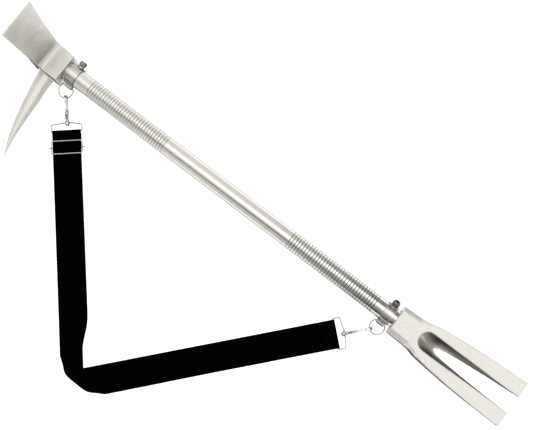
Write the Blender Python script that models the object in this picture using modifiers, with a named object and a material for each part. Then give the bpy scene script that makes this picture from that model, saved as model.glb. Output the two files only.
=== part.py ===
"""A halligan bar with a clip-on carrying sling, lying on the ground with its adze up.

Metres, +Z up. The shaft runs along +X from the head to the fork, the pike points along -Y and the
adze along +Z. Most shapes are drawn in bar coordinates, whose origin is on the shaft's centre line
in the plane of the adze's root; the empty named bar_axis puts that point in the object's own frame,
which has its origin on the ground under the middle of the bar's bounding box.
"""

import math

import bmesh
import bpy
import numpy as np
from mathutils import Matrix, Vector

MM = 0.001
FIT_GAP = 0.3 * MM

# Bar
GROUND_Z = -18.0 * MM
SHAFT_RADIUS = 12.7 * MM
SHAFT_START_X = 4.0 * MM
SHAFT_END_X = 600.0 * MM
SOCKET_RADIUS = SHAFT_RADIUS + FIT_GAP
PIN_RADIUS = 3.0 * MM
PIN_TOP_Z = 9.0 * MM
HEAD_PIN_X = 18.0 * MM
FORK_PIN_X = 586.0 * MM

# Head forging
HEAD_BACK_X = -11.6 * MM
HEAD_FRONT_X = 31.4 * MM
HEAD_HALF_HEIGHT = 18.0 * MM
HEAD_HALF_WIDTH = 20.5 * MM
HEAD_FRONT_HALF_WIDTH = 18.6 * MM
HEAD_PIKE_SIDE = 21.4 * MM
ADZE_TIP_Z = 130.0 * MM
ADZE_TIP_HALF_WIDTH = 26.6 * MM
ADZE_ROOT_X = 3.8 * MM
ADZE_LEAN = 15.6 * MM
ADZE_HOLLOW = 3.5 * MM
ADZE_ROOT_THICKNESS = 15.4 * MM
ADZE_TIP_THICKNESS = 2.2 * MM
ADZE_FILLET = 8.0 * MM

# Fork forging
FORK_START_X = 572.0 * MM
FORK_TIP_X = 748.0 * MM
FORK_RISE_START_X = 604.0 * MM
FORK_TOP_Z = 15.0 * MM
FORK_TIP_TOP_Z = 30.0 * MM
FORK_TIP_THICKNESS = 3.5 * MM
FORK_TIP_HALF_WIDTH = 33.5 * MM
CROTCH_RADIUS = 13.0 * MM
CROTCH_CENTRE_X = 620.5 * MM
SLOT_APEX_X = 636.0 * MM
SLOT_TIP_HALF_WIDTH = 11.7 * MM
BOWL_POWER = 0.75
SIDE_POWER = 0.6
FORK_CHAMFER_WIDTH = 6.5 * MM
FORK_CHAMFER_HEIGHT = 11.0 * MM

# Sling anchors: a clamp with a hinge barrel, and the ring that swings in the barrel
HEAD_CLAMP_X = 42.9 * MM
FORK_CLAMP_X = 559.8 * MM
BAND_INNER_RADIUS = SHAFT_RADIUS + FIT_GAP
BAND_THICKNESS = 1.2 * MM
BAND_HALF_LENGTH = 7.2 * MM
BARREL_Y = -15.3 * MM
BARREL_Z = -6.8 * MM
BARREL_RADIUS = 2.9 * MM
BARREL_BORE = 1.6 * MM
BARREL_HALF_LENGTH = 5.4 * MM
BOSS_RADIUS = 4.5 * MM
BOSS_TOP = 15.8 * MM
SCREW_RADIUS = 3.0 * MM
SCREW_HEAD_RADIUS = 5.0 * MM
SCREW_HEAD_HEIGHT = 6.0 * MM
SCREW_HEAD_BASE = 16.6 * MM
SCREW_SOCKET_RADIUS = 2.8 * MM
SCREW_SOCKET_DEPTH = 3.0 * MM
HEAD_SCREW_ANGLE = math.radians(12)
FORK_SCREW_ANGLE = math.radians(38)
RING_WIRE = 1.15 * MM
RING_RADIUS = 9.9 * MM
RING_HALF_CHORD = 7.2 * MM
RING_TILT = math.radians(10)
CONTACT_ANGLE = math.radians(52)

# Sling: both legs leave the rings at the same angle to the shaft and meet in one soft fold
STRAP_WIDTH = 38.1 * MM
STRAP_THICKNESS = 1.2 * MM
STRAP_FLOOR_Z = GROUND_Z + 0.7 * MM
STRAP_OFFSET = 1.6 * MM
FOLD_REACH = 13.0 * MM
FOLD_HALF_HEIGHT = 6.0 * MM
FOLD_Y = -298.5 * MM
FOLD_SKEW = math.radians(-0.6)
HOOK_REACH = 34.0 * MM
LOOP_DEPTH = 11.0 * MM
LOOP_WIRE = 1.1 * MM
LOOP_HALF_WIDTH = 20.4 * MM
LOOP_BAR_Z = -14.4 * MM
WRAP_RADIUS = LOOP_WIRE + STRAP_THICKNESS / 2 + 0.25 * MM
LAYER_GAP = 0.2 * MM

# Snap hook, along its own axis from the swivel towards the ring
HOOK_HALF_HEIGHT = 5.7 * MM
HOOK_HALF_THICKNESS = 1.8 * MM
EYE_HALF_HEIGHT = 3.4 * MM
EYE_START = 15.5 * MM
EYE_END = 36.0 * MM
HOOK_TIP = 38.0 * MM
GATE_START = 15.8 * MM
GATE_END = 28.6 * MM
GATE_PIVOT = Vector((12.5 * MM, 0.0, 3.9 * MM))
GATE_PIN_RADIUS = 0.7 * MM
SHANK_RADIUS = 1.5 * MM
SWIVEL_BORE = 1.85 * MM

# Slide adjuster, as distances along the strap from the head hook's strap bar
ADJUSTER_CENTRE = 21.4 * MM
ADJUSTER_HALF_LENGTH = 8.6 * MM
ADJUSTER_HALF_WIDTH = 20.5 * MM
ADJUSTER_WIRE = 0.9 * MM
CENTRE_BAR_WIRE = 0.8 * MM
CENTRE_BAR_DROP = 2.9 * MM
RETURN_TAIL = 12.0 * MM
STRAP_SETTLES_AT = 250.0 * MM

# Where the bar's axis lies in the object's frame: x and y centre the bounding box of the bar
BAR_ORIGIN = Vector((-367.0 * MM, 53.75 * MM, -GROUND_Z))

COLOURS = {
    "forged": ((0.62, 0.61, 0.57), 0.42, 0.9),
    "shaft": ((0.74, 0.73, 0.70), 0.22, 1.0),
    "bright_metal": ((0.66, 0.65, 0.62), 0.25, 1.0),
    "dark_screw": ((0.35, 0.34, 0.32), 0.35, 1.0),
    "webbing": ((0.01, 0.01, 0.011), 0.85, 0.0),
}


def clear_scene():
    for obj in list(bpy.data.objects):
        bpy.data.objects.remove(obj, do_unlink=True)


def new_collection(name, hidden=False):
    collection = bpy.data.collections.new(name)
    bpy.context.scene.collection.children.link(collection)
    collection.hide_render = hidden
    return collection


clear_scene()
PARTS = new_collection("halligan_bar")
CUTTERS = new_collection("cutters", hidden=True)


def make_material(name):
    colour, roughness, metallic = COLOURS[name]
    material = bpy.data.materials.new(name)
    material.use_nodes = True
    shader = material.node_tree.nodes["Principled BSDF"]
    shader.inputs["Base Color"].default_value = (*colour, 1.0)
    shader.inputs["Roughness"].default_value = roughness
    shader.inputs["Metallic"].default_value = metallic
    return material


MATERIALS = {name: make_material(name) for name in COLOURS}


def make_empty(name, location, parent=None):
    empty = bpy.data.objects.new(name, None)
    PARTS.objects.link(empty)
    empty.parent = parent
    empty.matrix_basis = Matrix.Translation(location)
    return empty


def add_object(name, data, frame, material=None):
    """Links a mesh or curve under its frame: a parent empty and the matrix of the drawing in it."""
    parent, matrix = frame
    obj = bpy.data.objects.new(name, data)
    (PARTS if material else CUTTERS).objects.link(obj)
    obj.parent = parent
    obj.matrix_basis = matrix
    if material:
        data.materials.append(MATERIALS[material])
    else:
        obj.hide_render = True
        obj.display_type = "WIRE"
    if obj.type == "MESH":
        data.shade_smooth()
        data.set_sharp_from_angle(angle=math.radians(35))
    return obj


def boolean(obj, other, operation="DIFFERENCE"):
    modifier = obj.modifiers.new(other.name, "BOOLEAN")
    modifier.operation = operation
    modifier.object = other


def round_edges(obj, width, segments=2, angle=35):
    modifier = obj.modifiers.new("rounded_edges", "BEVEL")
    modifier.width = width
    modifier.segments = segments
    modifier.limit_method = "ANGLE"
    modifier.angle_limit = math.radians(angle)


def mesh_from_bmesh(name, bm):
    bmesh.ops.recalc_face_normals(bm, faces=bm.faces)
    mesh = bpy.data.meshes.new(name)
    bm.to_mesh(mesh)
    bm.free()
    return mesh


def aim(direction):
    """The rotation that turns +Z to a direction."""
    return Vector(direction).to_track_quat("Z", "Y").to_matrix().to_4x4()


def cylinder_mesh(name, radius, start, end, sides=32, top_radius=None):
    """A closed cylinder or cone between two points."""
    start, end = Vector(start), Vector(end)
    bm = bmesh.new()
    bmesh.ops.create_cone(
        bm,
        cap_ends=True,
        segments=sides,
        radius1=radius,
        radius2=radius if top_radius is None else top_radius,
        depth=(end - start).length,
        matrix=Matrix.Translation((start + end) / 2) @ aim(end - start),
    )
    return mesh_from_bmesh(name, bm)


def box_mesh(name, low, high):
    low, high = Vector(low), Vector(high)
    bm = bmesh.new()
    size = Matrix.Diagonal((*(high - low), 1.0))
    bmesh.ops.create_cube(bm, size=1.0, matrix=Matrix.Translation((low + high) / 2) @ size)
    return mesh_from_bmesh(name, bm)


def wire_curve(name, points, radius, closed=False):
    curve = bpy.data.curves.new(name, "CURVE")
    curve.dimensions = "3D"
    curve.bevel_depth = radius
    curve.bevel_resolution = 2
    curve.use_fill_caps = not closed
    spline = curve.splines.new("POLY")
    spline.points.add(len(points) - 1)
    for point, co in zip(spline.points, points):
        point.co = (*co, 1.0)
    spline.use_cyclic_u = closed
    return curve


def mesh_from_curve(name, curve):
    """The curve's evaluated shape as a closed mesh, with its loose caps welded on."""
    holder = bpy.data.objects.new(name, curve)
    CUTTERS.objects.link(holder)
    bpy.context.view_layer.update()
    evaluated = holder.evaluated_get(bpy.context.evaluated_depsgraph_get())
    mesh = bpy.data.meshes.new_from_object(evaluated)
    bpy.data.objects.remove(holder)
    bm = bmesh.new()
    bm.from_mesh(mesh)
    bmesh.ops.remove_doubles(bm, verts=bm.verts, dist=0.01 * MM)
    bmesh.ops.recalc_face_normals(bm, faces=bm.faces)
    bm.to_mesh(mesh)
    bm.free()
    mesh.name = name
    return mesh


def outline_mesh(name, points, half_depth, matrix=None):
    """A flat outline in local XY, extruded both ways along local Z."""
    curve = bpy.data.curves.new(name, "CURVE")
    curve.dimensions = "2D"
    curve.fill_mode = "BOTH"
    curve.extrude = half_depth
    spline = curve.splines.new("POLY")
    spline.points.add(len(points) - 1)
    for point, (x, y) in zip(spline.points, points):
        point.co = (x, y, 0.0, 1.0)
    spline.use_cyclic_u = True
    mesh = mesh_from_curve(name, curve)
    if matrix is not None:
        mesh.transform(matrix)
    return mesh


def loft_mesh(name, sections):
    """A closed skin through rings of points that have the same number of points each."""
    bm = bmesh.new()
    rings = [[bm.verts.new(point) for point in section] for section in sections]
    for ring, following in zip(rings, rings[1:]):
        for i in range(len(ring)):
            j = (i + 1) % len(ring)
            bm.faces.new((ring[i], ring[j], following[j], following[i]))
    bm.faces.new(rings[0])
    bm.faces.new(rings[-1])
    return mesh_from_bmesh(name, bm)


def arc(centre, radius, start_deg, end_deg, steps):
    """Points on an arc in a plane, both ends included."""
    angles = [math.radians(start_deg + (end_deg - start_deg) * i / steps) for i in range(steps + 1)]
    return [(centre[0] + radius * math.cos(a), centre[1] + radius * math.sin(a)) for a in angles]


def rounded_outline(corners, radius, steps=3):
    """A convex outline, listed anticlockwise, with an arc at each corner."""
    points = []
    for i, corner in enumerate(corners):
        corner = Vector(corner)
        before = (Vector(corners[i - 1]) - corner).normalized()
        after = (Vector(corners[(i + 1) % len(corners)]) - corner).normalized()
        half_angle = before.angle(after) / 2
        centre = corner + (before + after).normalized() * radius / math.sin(half_angle)
        first = (corner + before * radius / math.tan(half_angle) - centre).normalized()
        last = (corner + after * radius / math.tan(half_angle) - centre).normalized()
        for step in range(steps + 1):
            points.append(tuple(centre + first.slerp(last, step / steps) * radius))
    return points


XZ_PLANE = Matrix.Rotation(math.radians(90), 4, "X")
BAR_AXIS = make_empty("bar_axis", BAR_ORIGIN)
BAR = (BAR_AXIS, Matrix.Identity(4))


def make_shaft():
    start, end = (SHAFT_START_X, 0, 0), (SHAFT_END_X, 0, 0)
    shaft = add_object("shaft", cylinder_mesh("shaft", SHAFT_RADIUS, start, end, 48), BAR, "shaft")
    for end_name, x in (("head", HEAD_PIN_X), ("fork", FORK_PIN_X)):
        low, high = (x, 0, GROUND_Z + FIT_GAP), (x, 0, PIN_TOP_Z)
        pin_name = end_name + "_drive_pin"
        add_object(pin_name, cylinder_mesh(pin_name, PIN_RADIUS, low, high, 24), BAR, "dark_screw")
        boolean(shaft, pin_hole(end_name + "_shaft_pin_hole", x))
    return shaft


def pin_hole(name, x):
    low, high = (x, 0, 2 * GROUND_Z), (x, 0, PIN_TOP_Z + FIT_GAP)
    return add_object(name, cylinder_mesh(name, PIN_RADIUS + FIT_GAP, low, high, 24), BAR)


def adze_inner_x(t):
    """The adze's working face, hollow towards the fork; t runs from the root to the edge."""
    return ADZE_ROOT_X - ADZE_LEAN * t - ADZE_HOLLOW * math.sin(math.pi * t)


def adze_thickness(t):
    return ADZE_TIP_THICKNESS + (ADZE_ROOT_THICKNESS - ADZE_TIP_THICKNESS) * (1 - t) ** 1.8


def head_half_width(x, z, side):
    if z > HEAD_HALF_HEIGHT:
        t = (z - HEAD_HALF_HEIGHT) / (ADZE_TIP_Z - HEAD_HALF_HEIGHT)
        return HEAD_HALF_WIDTH + (ADZE_TIP_HALF_WIDTH - HEAD_HALF_WIDTH) * t
    if side < 0:
        return HEAD_PIKE_SIDE
    t = max(0.0, (x - ADZE_ROOT_X) / (HEAD_FRONT_X - ADZE_ROOT_X))
    return HEAD_HALF_WIDTH + (HEAD_FRONT_HALF_WIDTH - HEAD_HALF_WIDTH) * t


def make_head():
    rise = ADZE_TIP_Z - HEAD_HALF_HEIGHT
    steps = 10
    heights = [i / steps for i in range(1, steps + 1)]
    fillet_centre = (adze_inner_x(0.07) + ADZE_FILLET, HEAD_HALF_HEIGHT + ADZE_FILLET)
    outline = [(HEAD_BACK_X, -HEAD_HALF_HEIGHT), (HEAD_FRONT_X, -HEAD_HALF_HEIGHT)]
    outline.append((HEAD_FRONT_X, HEAD_HALF_HEIGHT))
    outline += arc(fillet_centre, ADZE_FILLET, 270, 185, 5)
    outline += [(adze_inner_x(t), HEAD_HALF_HEIGHT + rise * t) for t in heights]
    for t in reversed(heights):
        outline.append((adze_inner_x(t) - adze_thickness(t), HEAD_HALF_HEIGHT + rise * t))
    mesh = outline_mesh("head_forging", outline, 1.0 * MM, XZ_PLANE)
    for vertex in mesh.vertices:
        side = math.copysign(1.0, vertex.co.y)
        vertex.co.y = side * head_half_width(vertex.co.x, vertex.co.z, side)
    head = add_object("head_forging", mesh, BAR, "forged")
    boolean(head, add_object("pike", pike_mesh(), BAR), "UNION")
    bore_ends = (SHAFT_START_X - FIT_GAP, 0, 0), (HEAD_FRONT_X + 5 * MM, 0, 0)
    bore = cylinder_mesh("head_socket", SOCKET_RADIUS, *bore_ends, 48)
    boolean(head, add_object("head_socket", bore, BAR))
    boolean(head, pin_hole("head_pin_hole", HEAD_PIN_X))


def pike_mesh():
    """The pike tapers along -Y and curves towards the fork. Millimetres: y, centre x, half sizes."""
    stations = (
        (-15, 11.8, 12.7, 10.0),
        (-24, 11.8, 12.6, 10.0),
        (-37, 13.4, 11.5, 9.7),
        (-53, 16.2, 10.6, 9.0),
        (-70, 18.8, 9.4, 7.8),
        (-88, 21.8, 7.5, 6.2),
        (-104, 25.1, 5.6, 4.7),
        (-117, 28.6, 3.9, 3.3),
        (-129, 32.6, 2.3, 2.1),
        (-141, 36.9, 0.8, 0.8),
    )
    corners = ((1, 0.3), (0.62, 0.85), (0, 1), (-0.62, 0.85), (-1, 0.3))
    corners += ((-1, -0.3), (-0.6, -0.9), (0.6, -0.9), (1, -0.3))
    sections = []
    for y, x, half_width, half_height in stations:
        ring = [((x + a * half_width) * MM, y * MM, b * half_height * MM) for a, b in corners]
        sections.append(ring)
    return loft_mesh("pike", sections)


def fork_top_z(x):
    t = max(0.0, (x - FORK_RISE_START_X) / (FORK_TIP_X - FORK_RISE_START_X))
    return FORK_TOP_Z + (FORK_TIP_TOP_Z - FORK_TOP_Z) * t**1.3


def fork_bottom_z(x):
    t = max(0.0, (x - FORK_RISE_START_X) / (FORK_TIP_X - FORK_RISE_START_X))
    return GROUND_Z + (FORK_TIP_TOP_Z - FORK_TIP_THICKNESS - GROUND_Z) * t**1.15


def make_fork():
    half = ((572, 20.5), (609, 21.8), (618, 24.4), (640, 27.2), (665, 29.6), (705, 32.0))
    half = [(x * MM, y * MM) for x, y in half] + [(FORK_TIP_X, FORK_TIP_HALF_WIDTH)]
    plan = [(x, -y) for x, y in half] + [(x, y) for x, y in reversed(half)]
    fork = add_object("fork_forging", outline_mesh("fork_forging", plan, 60 * MM), BAR, "forged")
    span = FORK_TIP_X - FORK_RISE_START_X
    stations = [FORK_START_X - 5 * MM] + [FORK_RISE_START_X + span * i / 12 for i in range(13)]
    stations.append(FORK_TIP_X + 5 * MM)
    side = [(x, fork_bottom_z(x)) for x in stations] + [(x, fork_top_z(x)) for x in reversed(stations)]
    profile = outline_mesh("fork_side_profile", side, 60 * MM, XZ_PLANE)
    boolean(fork, add_object("fork_side_profile", profile, BAR), "INTERSECT")
    boolean(fork, add_object("fork_slot", fork_slot_mesh(), BAR))
    for across in (-1, 1):
        for up in (-1, 1):
            boolean(fork, fork_chamfer(across, up))
    bore_ends = (FORK_START_X - 5 * MM, 0, 0), (SHAFT_END_X + FIT_GAP, 0, 0)
    bore = cylinder_mesh("fork_socket", SOCKET_RADIUS, *bore_ends, 48)
    boolean(fork, add_object("fork_socket", bore, BAR))
    boolean(fork, pin_hole("fork_pin_hole", FORK_PIN_X))


def fork_slot_mesh():
    """The nail slot: a round bowl at its closed end that opens into a notch with curved sides."""
    over = 6 * MM
    start, end = CROTCH_CENTRE_X - CROTCH_RADIUS, FORK_TIP_X + 8 * MM
    stations = [start + s * MM for s in (0.4, 1.5, 3, 5.5, 9)] + [CROTCH_CENTRE_X]
    stations += [CROTCH_CENTRE_X + (SLOT_APEX_X - CROTCH_CENTRE_X) * i / 3 for i in (1, 2, 3)]
    stations += [SLOT_APEX_X + (end - SLOT_APEX_X) * (i / 9) ** 1.4 for i in range(1, 10)]
    levels = [i / 6 for i in range(7)]
    sections = []
    for x in stations:
        from_centre = min(0.0, x - CROTCH_CENTRE_X)
        top_half = math.sqrt(CROTCH_RADIUS**2 - from_centre**2)
        taper = max(0.0, x - CROTCH_CENTRE_X) / (FORK_TIP_X - CROTCH_CENTRE_X)
        top_half += (SLOT_TIP_HALF_WIDTH - CROTCH_RADIUS) * taper
        opened = max(0.0, x - SLOT_APEX_X) / (FORK_TIP_X - SLOT_APEX_X)
        bottom_half = 0.2 * MM + (SLOT_TIP_HALF_WIDTH - 0.2 * MM) * min(opened, 1.1) ** 0.45
        top, bottom = fork_top_z(x), fork_bottom_z(x)
        if x < SLOT_APEX_X:
            sunk = ((x - start) / (SLOT_APEX_X - start)) ** BOWL_POWER
            bottom = top + (bottom - top) * sunk
        power = SIDE_POWER + (1 - SIDE_POWER) * min(1.0, opened * 2)
        side = [(bottom_half + (top_half - bottom_half) * h**power, bottom + (top - bottom) * h) for h in levels]
        side.append((top_half, top + over))
        beneath = bottom - over if x >= SLOT_APEX_X else bottom - 0.5 * MM
        side.insert(0, (0.1 * MM, beneath))
        section = [(x, y, z) for y, z in side] + [(x, -y, z) for y, z in reversed(side)]
        sections.append(section)
    return loft_mesh("fork_slot", sections)


def fork_chamfer(across, up):
    """A wedge that takes one long edge off the fork's block and runs out before the tines."""
    name = "fork_chamfer_" + ("left" if across > 0 else "right") + ("_top" if up > 0 else "_bottom")
    face = FORK_TOP_Z if up > 0 else -GROUND_Z
    stations = ((FORK_START_X - 5 * MM, 1.0), (598 * MM, 1.0), (617 * MM, 0.02))
    sections = []
    for x, share in stations:
        side = 20.5 * MM + max(0.0, x - FORK_START_X) * 0.05
        width, height = FORK_CHAMFER_WIDTH * share, FORK_CHAMFER_HEIGHT * share
        over = 6 * MM
        sections.append(
            [
                (x, across * (side - width - over * width / height), up * (face + over)),
                (x, across * (side + over), up * (face - height - over * height / width)),
                (x, across * (side + over), up * (face + over)),
            ]
        )
    return add_object(name, loft_mesh(name, sections), BAR)


def make_anchor(end_name, clamp_x, screw_angle, ring_pivot):
    """A clamp band with its barrel and screw boss, its screw, and the ring in the barrel."""
    low, high = clamp_x - BAND_HALF_LENGTH, clamp_x + BAND_HALF_LENGTH
    outer_radius = BAND_INNER_RADIUS + BAND_THICKNESS
    radial = Vector((0, math.cos(screw_angle), math.sin(screw_angle)))
    centre = Vector((clamp_x, 0, 0))

    def helper(part, radius, start, end, sides=32):
        name = end_name + "_" + part
        return add_object(name, cylinder_mesh(name, radius, start, end, sides), BAR)

    name = end_name + "_clamp_band"
    outer = cylinder_mesh(name, outer_radius, (low, 0, 0), (high, 0, 0), 48)
    band = add_object(name, outer, BAR, "bright_metal")
    barrel_ends = [(clamp_x + s * BARREL_HALF_LENGTH, BARREL_Y, BARREL_Z) for s in (-1, 1)]
    bore_ends = [(clamp_x + s * 2 * BARREL_HALF_LENGTH, BARREL_Y, BARREL_Z) for s in (-1, 1)]
    boolean(band, helper("barrel", BARREL_RADIUS, *barrel_ends, 24), "UNION")
    boss = helper("boss", BOSS_RADIUS, centre, centre + radial * BOSS_TOP, 24)
    boolean(band, boss, "UNION")
    bore = helper("band_bore", BAND_INNER_RADIUS, (low - MM, 0, 0), (high + MM, 0, 0), 48)
    boolean(band, bore)
    boolean(band, helper("barrel_bore", BARREL_BORE, *bore_ends, 20))
    hole = helper("screw_hole", SCREW_RADIUS + FIT_GAP, centre, centre + radial * 25 * MM, 24)
    boolean(band, hole)

    name = end_name + "_clamp_screw"
    tip = centre + radial * (SHAFT_RADIUS + FIT_GAP)
    base = centre + radial * SCREW_HEAD_BASE
    top = centre + radial * (SCREW_HEAD_BASE + SCREW_HEAD_HEIGHT)
    screw = add_object(name, cylinder_mesh(name, SCREW_HEAD_RADIUS, base, top, 32), BAR, "dark_screw")
    boolean(screw, helper("screw_shank", SCREW_RADIUS, tip, base + radial * MM, 24), "UNION")
    socket_base = top - radial * SCREW_SOCKET_DEPTH
    boolean(screw, helper("screw_socket", SCREW_SOCKET_RADIUS, socket_base, top + radial * MM, 6))

    centre_drop = math.sqrt(RING_RADIUS**2 - RING_HALF_CHORD**2)
    chord_angle = math.degrees(math.atan2(centre_drop, RING_HALF_CHORD))
    flat = arc((0, -centre_drop), RING_RADIUS, 180 - chord_angle + 8, 360 + chord_angle - 8, 28)
    flat += [(RING_HALF_CHORD - 0.9 * MM, 0), (-RING_HALF_CHORD + 0.9 * MM, 0)]
    tilt = Matrix.Rotation(RING_TILT, 4, "X")
    points = [tilt @ Vector((x, y, 0)) for x, y in flat]
    name = end_name + "_d_ring"
    add_object(name, wire_curve(name, points, RING_WIRE, closed=True), ring_pivot, "bright_metal")


def ring_contact(clamp_x):
    """The point on a ring's wire where the hook pulls, in bar coordinates."""
    centre_drop = math.sqrt(RING_RADIUS**2 - RING_HALF_CHORD**2)
    out = centre_drop + RING_RADIUS * math.sin(CONTACT_ANGLE)
    along = RING_RADIUS * math.cos(CONTACT_ANGLE)
    x = clamp_x + (along if clamp_x < 300 * MM else -along)
    y = BARREL_Y - out * math.cos(RING_TILT)
    return Vector((x, y, BARREL_Z - out * math.sin(RING_TILT)))


HEAD_CONTACT = ring_contact(HEAD_CLAMP_X)
FORK_CONTACT = ring_contact(FORK_CLAMP_X)


def fold_profile(steps=48):
    """The webbing's middle round the soft fold: length along it, reach beyond its start, height."""
    angles = [math.pi * i / steps for i in range(steps + 1)]
    reach = [FOLD_REACH * math.sin(a) for a in angles]
    height = [FOLD_HALF_HEIGHT * (1 - math.cos(a)) for a in angles]
    length = [0.0]
    for i in range(steps):
        step = math.hypot(reach[i + 1] - reach[i], height[i + 1] - height[i])
        length.append(length[-1] + step)
    return length, reach, height


FOLD_PROFILE = fold_profile()
FOLD_WRAP = FOLD_PROFILE[0][-1]
FOLD_TURN = Matrix.Rotation(FOLD_SKEW, 3, "Z")
UNTURN = FOLD_TURN.inverted()


def sling_angle():
    """The angle between each leg and the fold's axis that lets both legs meet at the fold."""
    head, fork = UNTURN @ HEAD_CONTACT, UNTURN @ FORK_CONTACT
    down = head.y + fork.y - 2 * FOLD_Y + FOLD_WRAP
    return math.atan2(down, fork.x - head.x)


LEG_ANGLE = sling_angle()
HOOK_PITCH = math.asin((HEAD_CONTACT.z - LOOP_BAR_Z) / (HOOK_REACH + LOOP_DEPTH))
HEAD_LEG = FOLD_TURN @ Vector((math.cos(LEG_ANGLE), -math.sin(LEG_ANGLE), 0))
FORK_LEG = FOLD_TURN @ Vector((-math.cos(LEG_ANGLE), -math.sin(LEG_ANGLE), 0))
HEAD_SIDE = FOLD_TURN @ Vector((math.sin(LEG_ANGLE), math.cos(LEG_ANGLE), 0))
FORK_SIDE = FOLD_TURN @ Vector((math.sin(LEG_ANGLE), -math.cos(LEG_ANGLE), 0))


def hook_matrix(contact, leg):
    """Local +X from the swivel to the ring, +Z up in the hook's plane, origin at the swivel."""
    forward = -leg * math.cos(HOOK_PITCH) + Vector((0, 0, math.sin(HOOK_PITCH)))
    upward = leg * math.sin(HOOK_PITCH) + Vector((0, 0, math.cos(HOOK_PITCH)))
    sideways = upward.cross(forward)
    rotation = Matrix((forward, sideways, upward)).transposed().to_4x4()
    return Matrix.Translation(contact - forward * HOOK_REACH) @ rotation


def in_frame(pivot, matrix):
    """A frame for drawings made in bar coordinates or a local matrix, under a pivot empty."""
    return (pivot, Matrix.Translation(-pivot_location(pivot)) @ matrix)


def pivot_location(pivot):
    location = Vector((0, 0, 0))
    while pivot is not BAR_AXIS:
        location += pivot.matrix_basis.translation
        pivot = pivot.parent
    return location


def hook_outline():
    """Half-round nose, parallel eye and a neck that narrows to the swivel shank, anticlockwise."""
    nose_centre = HOOK_TIP - HOOK_HALF_HEIGHT
    neck = 4.2 * MM
    points = [(neck, -2.3 * MM), (7.5 * MM, -3.0 * MM), (11.5 * MM, -4.9 * MM)]
    points.append((15.5 * MM, -HOOK_HALF_HEIGHT))
    points += arc((nose_centre, 0), HOOK_HALF_HEIGHT, -90, 90, 12)
    points.append((15.5 * MM, HOOK_HALF_HEIGHT))
    points += [(11.5 * MM, 5.3 * MM), (7.5 * MM, 3.4 * MM), (neck, 2.3 * MM)]
    return points


def eye_outline():
    near, far = EYE_START + EYE_HALF_HEIGHT, EYE_END - EYE_HALF_HEIGHT
    return arc((far, 0), EYE_HALF_HEIGHT, -90, 90, 8) + arc((near, 0), EYE_HALF_HEIGHT, 90, 270, 8)


def make_hook(end_name, matrix, hook_pivot, gate_pivot):
    frame = in_frame(hook_pivot, matrix)

    def part(name, mesh, material=None):
        return add_object(end_name + "_" + name, mesh, frame, material)

    body_mesh = outline_mesh("hook_body", hook_outline(), HOOK_HALF_THICKNESS, XZ_PLANE)
    body = part("hook_body", body_mesh, "bright_metal")
    round_edges(body, 0.5 * MM, segments=1, angle=60)
    boolean(body, part("hook_eye", outline_mesh("eye", eye_outline(), 5 * MM, XZ_PLANE)))
    gap_low = (GATE_START - 2.5 * FIT_GAP, -5 * MM, 0.5 * MM)
    gap_high = (GATE_END + FIT_GAP, 5 * MM, 9 * MM)
    boolean(body, part("gate_gap", box_mesh("gate_gap", gap_low, gap_high)))
    slot = box_mesh("gate_slot", (9.4 * MM, -1.1 * MM, 0.7 * MM), (18 * MM, 1.1 * MM, 9 * MM))
    boolean(body, part("gate_slot", slot))
    side = Vector((0, 3 * MM, 0))
    hole = cylinder_mesh("pin_hole", GATE_PIN_RADIUS + FIT_GAP, GATE_PIVOT - side, GATE_PIVOT + side, 16)
    boolean(body, part("pin_hole", hole))
    shank = cylinder_mesh("shank", SHANK_RADIUS, (-2.6 * MM, 0, 0), (6 * MM, 0, 0), 24)
    boolean(body, part("shank", shank), "UNION")
    rivet = cylinder_mesh("rivet", 2.4 * MM, (-3.5 * MM, 0, 0), (-2.2 * MM, 0, 0), 24)
    boolean(body, part("rivet", rivet), "UNION")
    collar = cylinder_mesh("collar", 2.7 * MM, (2.6 * MM, 0, 0), (4.6 * MM, 0, 0), 24)
    boolean(body, part("collar", collar), "UNION")

    pin_half = Vector((0, 1.7 * MM, 0))
    pin = cylinder_mesh("pin", GATE_PIN_RADIUS, GATE_PIVOT - pin_half, GATE_PIVOT + pin_half, 16)
    part("gate_pin", pin, "bright_metal")
    spring_points = [(10.0, 2.1), (11.2, 1.75), (12.8, 1.75), (14.4, 2.0), (16.2, 2.5)]
    spring = wire_curve("spring", [(x * MM, 0, z * MM) for x, z in spring_points], 0.2 * MM)
    part("gate_spring", spring, "bright_metal")

    gate_frame = in_frame(gate_pivot, matrix)
    gate_outline = [(GATE_START, 3.3 * MM), (GATE_END, 3.3 * MM), (GATE_END, 5.3 * MM)]
    gate_outline += [(26 * MM, 5.7 * MM), (18 * MM, 5.6 * MM), (GATE_START, 5.2 * MM)]
    gate_mesh = outline_mesh("gate", gate_outline, 1.5 * MM, XZ_PLANE)
    gate = add_object(end_name + "_hook_gate", gate_mesh, gate_frame, "bright_metal")
    tail = box_mesh("tail", (10.9 * MM, -0.8 * MM, 2.9 * MM), (17 * MM, 0.8 * MM, 5.1 * MM))
    boolean(gate, add_object(end_name + "_gate_tail", tail, gate_frame), "UNION")
    bore = cylinder_mesh("bore", GATE_PIN_RADIUS + 0.05 * MM, GATE_PIVOT - side, GATE_PIVOT + side, 16)
    boolean(gate, add_object(end_name + "_gate_bore", bore, gate_frame))


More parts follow.
